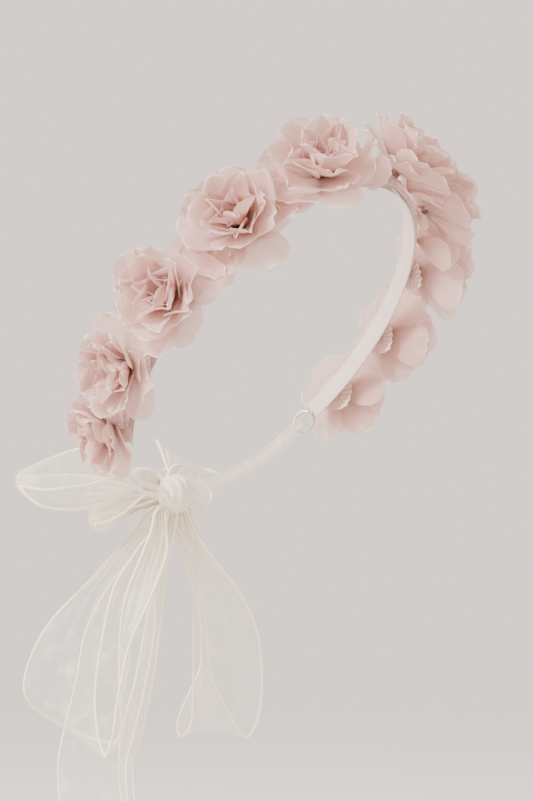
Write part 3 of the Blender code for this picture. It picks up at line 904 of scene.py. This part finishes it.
TAIL = (
    ((-3.5, 5, -10.5), 0.12, 8, 0), ((-4.6, 9, -20), 0.20, 8, 4), ((-6.5, 17, -34), 0.42, 8, 8),
    ((-9.5, 25, -52), 0.72, 8, 8), ((-11.8, 31, -77), 1.0, 8, 0), ((-12.3, 38, -106), 1.0, 8, -8),
    ((-12.3, 46, -130), 1.0, 8, -10), ((-12.3, 52, -152), 1.0, 8, 0), ((-12.3, 49, -178), 1.0, 8, 8),
    ((-12.3, 38, -204), 1.0, 8, 6), ((-12.3, 26, -232), 1.0, 8, 0), ((-12.3, 20, -262), 1.0, 8, -6),
    ((-12.3, 22, -292), 1.0, 8, 0),
)
RIBBONS = (
    ("upper_loop_", UPPER_LOOP),
    ("lower_loop_", LOWER_LOOP),
    ("hanging_loop_", HANGING_LOOP),
    ("tail_", TAIL),
)
EDGE_WIRE_RADIUS = 0.00080
PLEATS = 4
TAIL_SLANT = 0.009
# Depths of the open ribbon's crinkles and of its arch, and how far the wired edges hold the crinkles down
WIDE_CRINKLE = 0.0030
FINE_CRINKLE = 0.0009
RIBBON_ARCH = 0.0022
EDGE_STIFFNESS = 0.85

# The ribbons' ends run this share of their way into the knot, which is swollen to hold them
KNOT_TUCK = 0.68
KNOT_SWELL = Vector((1.12, 1.36, 1.26))
# Shape of the wound knot: how square its barrel is, its creases round and round, and its crumple
KNOT_BARREL = 3.2
KNOT_WINDING = 13.0
KNOT_CREASE = 0.075
KNOT_CRUMPLE = 0.05

# Ties: two legs side by side, joined by a bend in the eyelet, both drawn out towards the knot
TIE_SPACING = 0.0022
TIE_HALF_WIDTH = 0.0030
TIE_FLAT_WIDTH = 0.0105
TIE_PLEAT_DEPTH = 0.00075
TIE_CRUMPLE = 0.0002
TIE_BEND = 0.2
TIE_SETTLE = 12.0
KNOT_OUTSET = 0.003


def catmull(a, b, c, d, t):
    """Point on the smooth curve from b to c."""
    square, cube = 2 * a - 5 * b + 4 * c - d, 3 * b - a - 3 * c + d
    return 0.5 * (2 * b + (c - a) * t + square * t * t + cube * t ** 3)


def ribbon_rows(side, stations, steps):
    """Smooth (centre, half-width vector) rows through the stations, from the knot."""
    packed = []
    for spot, share, face, lean in stations:
        angle = math.radians(-FAN_ANGLE - face)
        level = Vector((math.cos(angle), math.sin(angle), 0.0))
        half = level * math.cos(math.radians(lean)) + UP * math.sin(math.radians(lean))
        centre, half = Vector(spot) / 1000, half * share * RIBBON_WIDTH / 2
        if side < 0:
            centre.x, half.x = -centre.x, -half.x
        packed.append((centre, half))
    padded = [tuple(2 * packed[0][k] - packed[1][k] for k in range(2))] + packed
    padded += [tuple(2 * packed[-1][k] - packed[-2][k] for k in range(2))]
    rows = []
    for i in range(1, len(padded) - 2):
        near = padded[i - 1:i + 3]
        for step in range(steps):
            rows.append([catmull(*(pair[part] for pair in near), step / steps) for part in range(2)])
    rows.append(list(packed[-1]))
    return rows


def edge_tube(patch, path, radius, sides=6):
    """Closed round cord along a path."""
    rows, side = [], None
    for index, point in enumerate(path):
        heading = (path[min(index + 1, len(path) - 1)] - path[max(index - 1, 0)]).normalized()
        side = heading.orthogonal().normalized() if side is None else side
        side = (side - heading * side.dot(heading)).normalized()
        other = heading.cross(side)
        rows.append([point + (side * math.cos(a) + other * math.sin(a)) * radius
                     for a in (2 * math.pi * s / sides for s in range(sides))])
    start = len(patch.points)
    patch.add_grid(rows, [[(0.0, 0.0)] * sides] * len(rows), {}, closed=True)
    patch.faces.append(tuple(range(start + sides - 1, start - 1, -1)))
    patch.faces.append(tuple(range(len(patch.points) - sides, len(patch.points))))


def build_ribbon(name, side, stations, knot, body, seed, materials, slanted):
    """Wire-edged organza ribbon: gathered pleats near the knot, crinkles where it is open."""
    rows = ribbon_rows(side, stations, 7)
    rows.insert(0, [rows[0][0] * KNOT_TUCK, rows[0][1]])
    if not slanted:
        rows.append([rows[-1][0] * KNOT_TUCK, rows[-1][1]])
    columns = 28
    patch = Patchwork(("gather",))
    points, uvs, gathers = [], [], []
    edges = ([], [])
    walked = 0.0
    for index, (centre, half) in enumerate(rows):
        before, after = rows[max(index - 1, 0)][0], rows[min(index + 1, len(rows) - 1)][0]
        if index:
            walked += (centre - rows[index - 1][0]).length
        heading = (after - before).normalized()
        normal = heading.cross(half).normalized()
        share = min(1.0, 2 * half.length / RIBBON_WIDTH)
        gathered = math.sqrt(max(0.0, 1 - share * share))
        depth = 0.5 * RIBBON_WIDTH / (2 * PLEATS) * gathered * min(1.0, 0.5 + share * 2.2)
        row, uv_row = [], []
        for column in range(columns + 1):
            u = 2 * column / columns - 1
            pleat = depth * math.sin(PLEATS * math.pi * u + seed)
            crinkle = noise.noise(Vector((u * 1.4 + seed, walked * 42.0, seed))) * WIDE_CRINKLE * share
            crinkle += noise.noise(Vector((u * 4.0 - seed, walked * 120.0, 4.0))) * FINE_CRINKLE * share
            crinkle *= 1.0 - EDGE_STIFFNESS * u ** 4
            arch = -RIBBON_ARCH * share * (u * u - 0.4)
            point = knot + centre + half * u + normal * (pleat + crinkle + arch)
            if slanted:
                point += heading * (0.5 + 0.5 * u) * TAIL_SLANT * (index / (len(rows) - 1)) ** 12
            row.append(point)
            uv_row.append((u * RIBBON_WIDTH / 2, walked))
        edges[0].append(row[0])
        edges[1].append(row[-1])
        points.append(row)
        uvs.append(uv_row)
        gathers.append([1.0 - share] * (columns + 1))
    patch.add_grid(points, uvs, {"gather": gathers})
    sheet = patch.build(name + "_organza", materials["organza"])
    cords = Patchwork(())
    for path in edges:
        edge_tube(cords, path, EDGE_WIRE_RADIUS)
    cord = cords.build(name + "_wired_edges", materials["cord"])
    for item in (sheet, cord):
        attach(item, body)
        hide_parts(name)


def build_knot(knot, materials):
    """Ribbon wound over the gathered middle: a barrel creased round and round, pinched at its ends."""
    low, high = (Vector(corner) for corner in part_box("bow_knot"))
    half = (high - low) / 2 * KNOT_SWELL
    patch = Patchwork(("gather",))
    stations, around = 30, 48
    rows, uvs, gathers = [], [], []
    for station in range(stations + 1):
        x = 2 * station / stations - 1
        girth = math.sqrt(max(0.0, 1 - abs(x) ** KNOT_BARREL)) * 0.98
        row, uv_row = [], []
        for spoke in range(around):
            angle = 2 * math.pi * spoke / around
            sweep = KNOT_WINDING * x + 1.4 * math.sin(angle) + 0.8 * math.sin(2 * angle + 1.0)
            crease = KNOT_CREASE * math.sin(sweep)
            spot = Vector((x * 3.0, math.cos(angle) * 1.5, math.sin(angle) * 1.5))
            crease += KNOT_CRUMPLE * noise.noise(spot)
            reach = max(girth * (1.0 - 0.07 + crease), 0.04)
            row.append(knot + Vector((x * half.x * 0.96, half.y * reach * math.cos(angle),
                                      half.z * reach * math.sin(angle))))
            uv_row.append((x * half.x, angle * half.z))
        rows.append(row)
        uvs.append(uv_row)
        gathers.append([0.9] * around)
    patch.add_grid(rows, uvs, {"gather": gathers}, closed=True)
    last = stations * around
    patch.faces.append(tuple(range(around - 1, -1, -1)))
    patch.faces.append(tuple(range(last, last + around)))
    item = patch.build("bow_knot_wrapped", materials["organza_knot"])
    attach(item, "bow")
    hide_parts("bow_knot")


def build_tie(side, label, ring, materials):
    """Gathered ribbon from the knot, through the eyelet and back, pleated along its length."""
    name = "tie_ribbon_" + label
    turns = [turn_of(v.co, ring) % 360 for v in frame["nodes"][name].data.vertices]
    ends = (max(turns), min(turns)) if side > 0 else (min(turns), max(turns))
    last, through = ends
    legs, columns = 40, 24
    out_leg = [(last + (through - last) * s / legs, 1.0) for s in range(legs)]
    onward = math.copysign(TIE_BEND, through - last)
    bend = [(through - onward, math.cos(math.pi * s / 8)) for s in range(9)]
    back_leg = [(turn, -1.0) for turn, out in reversed(out_leg)]
    patch = Patchwork(("gather",))
    rows, uvs, gathers = [], [], []
    walked, previous = 0.0, None
    for turn, out in out_leg + bend + back_leg:
        blend = min(1.0, abs(turn - through) / TIE_SETTLE)
        centre = ring_point(turn, out * TIE_SPACING + KNOT_OUTSET * blend * blend)
        walked += (centre - previous).length if previous else 0.0
        previous = centre
        outward = ring_outward(turn)
        row, uv_row = [], []
        for column in range(columns + 1):
            u = 2 * column / columns - 1
            pleat = TIE_PLEAT_DEPTH * math.sin(u * 3 * math.pi + 0.5 * math.sin(walked * 60))
            pleat += TIE_CRUMPLE * noise.noise(Vector((u * 2, walked * 45, out)))
            facing = 1 if out >= 0 else -1
            row.append(ring @ (centre + UP * u * TIE_HALF_WIDTH + outward * pleat * facing))
            uv_row.append((u * TIE_FLAT_WIDTH / 2, walked))
        rows.append(row)
        uvs.append(uv_row)
        gathers.append([0.8] * (columns + 1))
    patch.add_grid(rows, uvs, {"gather": gathers})
    item = patch.build(name + "_pleated", materials["organza"])
    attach(item, "garland")
    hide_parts(name)


def build_bow(ring, materials):
    joints = {joint["name"]: joint for joint in frame["joints"]}
    knot = Vector(joints["bow_tilt"]["pos_m"])
    build_knot(knot, materials)
    for side, label in SIDES:
        seed = 1.7 * side + 0.4
        build_tie(side, label, ring, materials)
        for kind, stations in RIBBONS:
            name = kind + label
            body = name if name in frame["bodies"] else "bow"
            seed += 1.3
            build_ribbon(name, side, stations, knot, body, seed, materials, slanted=stations is TAIL)


# ---------------------------------------------------------------- assembly


def main():
    right, towards = place_camera()
    light_studio(right, towards)
    lay_floor()
    axis = Vector(frame["record"]["mounts"][0]["axis"]).normalized()
    ring = ring_frame_matrix(axis)
    # edge: the pale tone of the clouds and slubs, and the colour of the painted rim and crease highlights
    deep, blush, edge = (0.45, 0.185, 0.15), (0.80, 0.52, 0.465), (0.97, 0.85, 0.805)
    materials = {
        "petal_outer": chiffon_material("chiffon_outer", deep, blush, edge, 0.62, 0.40),
        "petal_middle": chiffon_material("chiffon_middle", deep, blush, edge, 0.72, 0.36),
        "petal_heart": chiffon_material("chiffon_heart", deep, blush, edge, 0.84, 0.32),
        "backing": chiffon_material("chiffon_backing", deep, blush, edge, 0.92, 0.15),
        "band": satin_material("band_ribbon", (0.66, 0.42, 0.38), (0.82, 0.62, 0.58), 0.42, 700.0,
                               WRAP_RIBBON_WIDTH),
        "lining": satin_material("lining_ribbon", (0.62, 0.44, 0.39), (0.84, 0.70, 0.65), 0.60, 620.0,
                                 LINING_WIDTH / 2),
        "organza": organza_material("organza", (0.92, 0.84, 0.70), (1.0, 0.96, 0.87), 0.15),
        "organza_knot": organza_material("organza_knot", (0.90, 0.82, 0.68), (1.0, 0.95, 0.85), 0.60),
        "cord": cord_material(),
    }
    wire = wire_material()
    for slot in frame["nodes"]["core_wire"].material_slots:
        slot.material = wire
    build_band(ring, materials)
    build_lining(ring, materials)
    build_flowers(axis, materials)
    build_gap_petals(axis, materials)
    build_front_twist(axis, materials)
    build_bow(ring, materials)


main()
